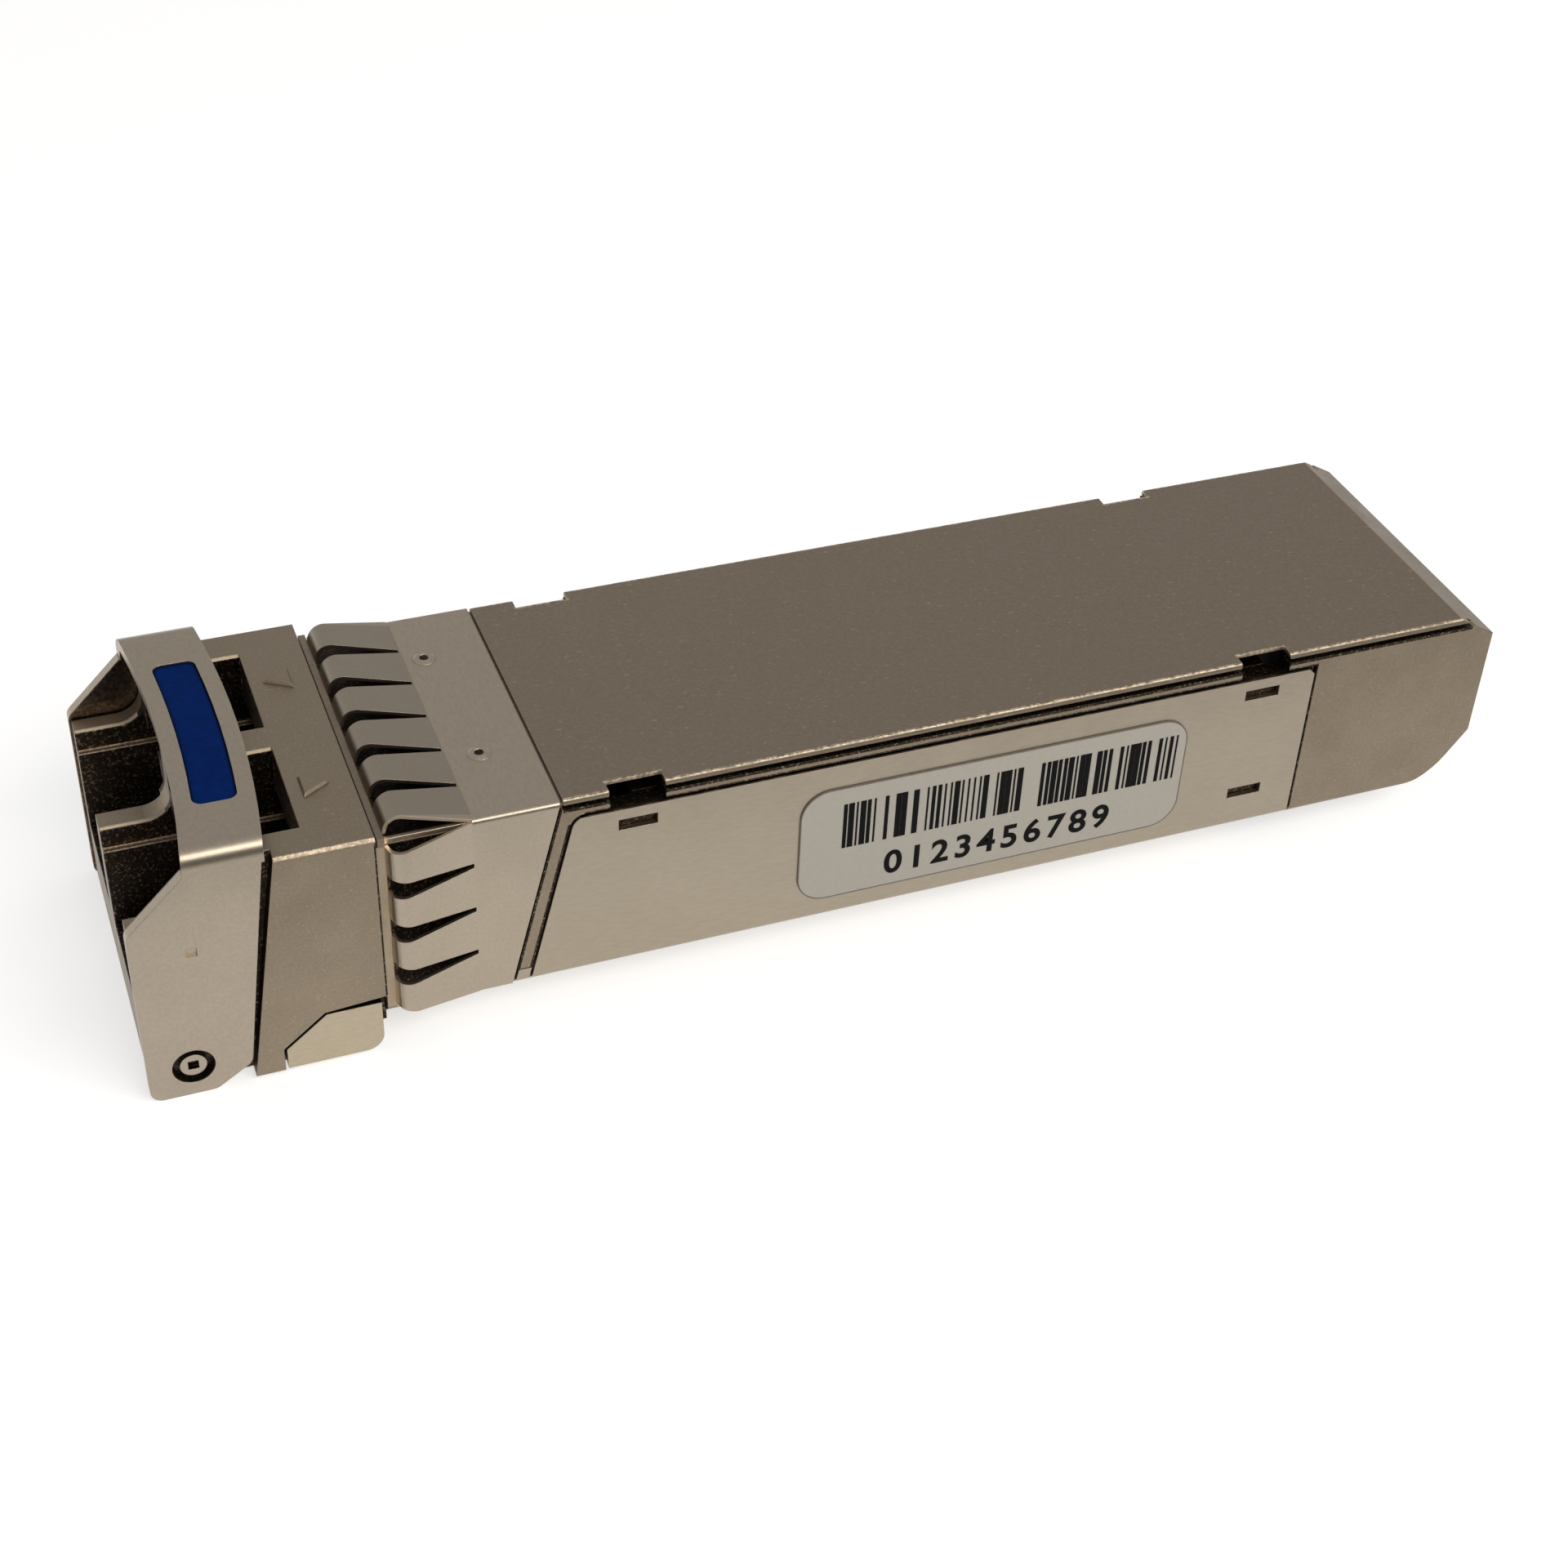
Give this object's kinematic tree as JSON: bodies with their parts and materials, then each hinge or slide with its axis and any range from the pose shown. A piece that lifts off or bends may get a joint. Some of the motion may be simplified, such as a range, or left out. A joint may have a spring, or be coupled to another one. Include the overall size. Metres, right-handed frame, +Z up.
{
  "type": "optical transceiver module",
  "caption": "Pluggable fibre-optic transceiver: slim metal body, spring collar, two plug ports in the nose, and a hinged bail that lifts the latch under it.",
  "frame": {"origin": "on the stop face behind the nose, in the middle of the width, level with the underside of the body", "axes": "+X back along the body to the tail, the way the module goes into its cage; +Z up; +Y is the transmitter side"},
  "size_m": [0.0566, 0.0146, 0.0114],
  "materials": {
    "die_cast": "satin plated die casting",
    "cover_plate": "satin plated die casting with a fine grain",
    "wrap_sheet": "smooth satin sheet",
    "spring_sheet": "bright spring sheet",
    "bail_sheet": "satin stamped sheet",
    "insert_plastic": "blue, slightly glossy",
    "pin_steel": "turned steel",
    "lever_steel": "pale satin plating",
    "board": "solder mask",
    "contact_gold": "gold plated",
    "barrel_steel": "turned stainless steel",
    "white_ceramic": "ground ceramic",
    "can_gold": "gold plated can",
    "flex_film": "amber film",
    "lens_glass": "clear",
    "chip_epoxy": "moulded epoxy",
    "pad_rubber": "soft gap filler",
    "chip_ceramic": "fired ceramic",
    "label_foil": "matt silver-grey label"
  },
  "bodies": {
    "housing": {"lower_housing": "die_cast", "top_cover": "cover_plate", "side_wrap": "wrap_sheet", "emi_collar": "spring_sheet", "latch_pivot": "pin_steel", "latch_spring": "spring_sheet", "circuit_board": "board", "edge_contacts": "contact_gold", "transmitter_barrel": "barrel_steel", "transmitter_sleeve": "white_ceramic", "transmitter_stub": "white_ceramic", "transmitter_can": "can_gold", "transmitter_flex": "flex_film", "receiver_barrel": "barrel_steel", "receiver_lens": "lens_glass", "receiver_can": "can_gold", "receiver_flex": "flex_film", "optics_clamp": "die_cast", "laser_driver": "chip_epoxy", "receiver_amplifier": "chip_epoxy", "controller": "chip_epoxy", "thermal_pad": "pad_rubber", "capacitors": "chip_ceramic", "label": "label_foil"},
    "bail": {"bail": "bail_sheet", "bail_insert": "insert_plastic", "bail_pin": "pin_steel"},
    "latch": {"latch_lever": "lever_steel"}
  },
  "joints": [
    {"name": "bail_hinge", "type": "hinge", "parent": "housing", "child": "bail", "pos_m": [-0.0074, 0, -0.00013], "axis": [0, -1, 0], "range_deg": [0, 90]},
    {"name": "latch_rock", "type": "hinge", "parent": "housing", "child": "latch", "pos_m": [-0.003, 0, 0.0002], "axis": [0, -1, 0], "range_deg": [0, 5.22], "deforming": ["latch_spring"]}
  ],
  "couplings": [
    {"joint": "latch_rock", "follows": "bail_hinge", "ratio": 0.05795}
  ]
}
